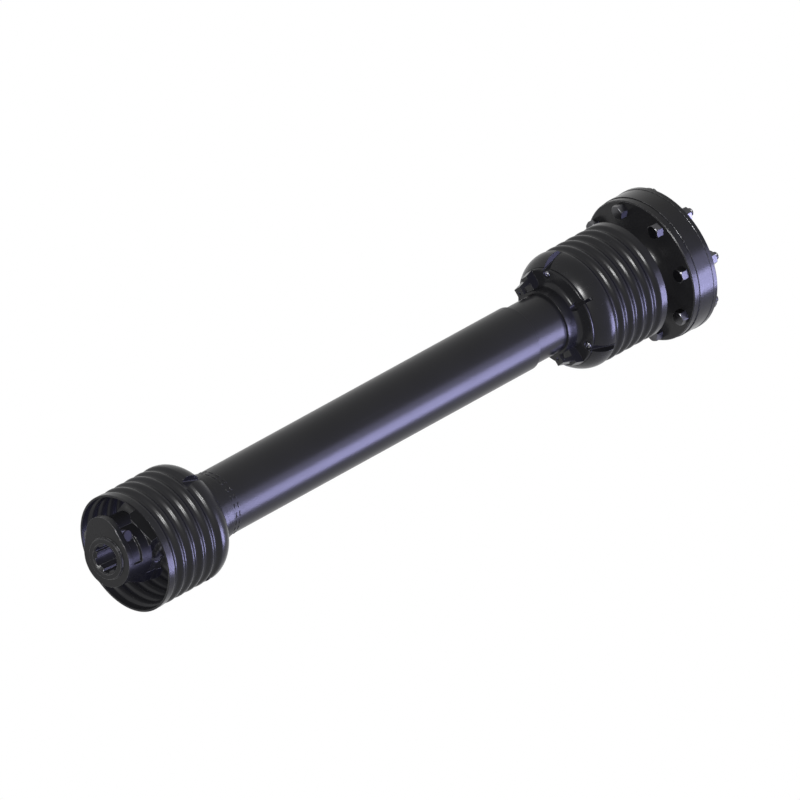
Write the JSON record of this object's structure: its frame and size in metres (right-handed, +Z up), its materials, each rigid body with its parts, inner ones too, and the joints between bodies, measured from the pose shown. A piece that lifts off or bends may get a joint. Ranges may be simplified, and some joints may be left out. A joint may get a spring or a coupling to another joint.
{
  "type": "pto drive shaft",
  "caption": "Guarded telescoping drive shaft with ribbed bell shields, universal joints, a splined push-pin yoke and a bolted friction clutch.",
  "frame": {"origin": "mouth of the splined bore in the implement hub", "axes": "+X along the shaft towards the implement, +Z up"},
  "size_m": [0.9571, 0.18, 0.18],
  "materials": {
    "guard": "satin black moulded plastic",
    "guard_tube": "smooth black extruded plastic",
    "bearing": "off-white nylon",
    "screw": "black oxide steel",
    "forged": "black painted forged steel",
    "tube": "greased drawn steel",
    "bearing_steel": "ground bearing steel",
    "spring": "spring steel",
    "seal": "black rubber",
    "brass": "brass",
    "clutch": "black painted steel",
    "lining": "pressed friction lining",
    "bolt": "black oxide steel"
  },
  "bodies": {
    "outer_guard": {"outer_guard_tube": "guard_tube", "near_shield": "guard", "near_guard_collar": "guard", "near_bearing_ring": "bearing", "near_guard_screws": "screw"},
    "outer_shaft": {"outer_profile_tube": "tube", "near_tube_yoke": "forged", "near_tube_pin": "spring", "near_tube_caps": "bearing_steel", "near_tube_circlips": "spring"},
    "near_cross": {"near_cross": "bearing_steel", "near_cross_seals": "seal", "near_grease_nipple": "brass"},
    "near_yoke": {"near_yoke": "forged", "near_yoke_caps": "bearing_steel", "near_yoke_circlips": "spring", "push_pin_cap": "bolt", "push_pin_spring": "spring"},
    "push_pin": {"push_pin": "bolt"},
    "inner_shaft": {"inner_profile_tube": "tube", "far_tube_yoke": "forged", "far_tube_pin": "spring", "far_tube_caps": "bearing_steel", "far_tube_circlips": "spring"},
    "inner_guard": {"inner_guard_tube": "guard_tube", "far_shield": "guard", "far_guard_collar": "guard", "far_bearing_ring": "bearing", "far_guard_screws": "screw"},
    "far_cross": {"far_cross": "bearing_steel", "far_cross_seals": "seal", "far_grease_nipple": "brass"},
    "clutch_yoke": {"flange_yoke": "forged", "flange_yoke_caps": "bearing_steel", "flange_yoke_circlips": "spring", "clutch_housing": "clutch", "clutch_back_plate": "clutch", "pressure_plate": "clutch", "disc_spring": "spring", "clutch_bush": "brass", "clutch_bolts": "bolt", "clutch_washers": "bolt", "clutch_nuts": "bolt"},
    "clutch_hub": {"clutch_hub": "forged", "front_lining": "lining", "rear_lining": "lining", "hub_clamp_bolt": "bolt", "hub_clamp_nut": "bolt"}
  },
  "joints": [
    {"name": "guard_turn", "type": "hinge", "parent": "outer_guard", "child": "outer_shaft", "pos_m": [-0.8626, 0, 0], "axis": [1, 0, 0], "continuous": true},
    {"name": "near_cross_swing", "type": "hinge", "parent": "outer_shaft", "child": "near_cross", "pos_m": [-0.8626, 0, 0], "axis": [0, 0.9239, 0.3827], "range_deg": [-28, 6]},
    {"name": "near_yoke_swing", "type": "hinge", "parent": "near_cross", "child": "near_yoke", "pos_m": [-0.8626, 0, 0], "axis": [0.1392, -0.379, 0.9149], "range_deg": [-14, 20]},
    {"name": "push_pin_press", "type": "slide", "parent": "near_yoke", "child": "push_pin", "axis": [0.0984, -0.9212, 0.3763], "range_m": [0, 0.012], "stiffness_N_per_m": 600, "springref_m": -0.004, "deforming": ["push_pin_spring"]},
    {"name": "telescope", "type": "slide", "parent": "outer_shaft", "child": "inner_shaft", "axis": [1, 0, 0], "range_m": [-0.035, 0.25]},
    {"name": "inner_guard_turn", "type": "hinge", "parent": "inner_shaft", "child": "inner_guard", "pos_m": [-0.155, 0, 0], "axis": [1, 0, 0], "continuous": true},
    {"name": "far_cross_swing", "type": "hinge", "parent": "inner_shaft", "child": "far_cross", "pos_m": [-0.155, 0, 0], "axis": [0, 0.9239, 0.3827], "range_deg": [-14, 14]},
    {"name": "flange_yoke_swing", "type": "hinge", "parent": "far_cross", "child": "clutch_yoke", "pos_m": [-0.155, 0, 0], "axis": [0, -0.3827, 0.9239], "range_deg": [-14, 14]},
    {"name": "clutch_slip", "type": "hinge", "parent": "clutch_yoke", "child": "clutch_hub", "pos_m": [0, 0, 0], "axis": [1, 0, 0], "continuous": true}
  ]
}
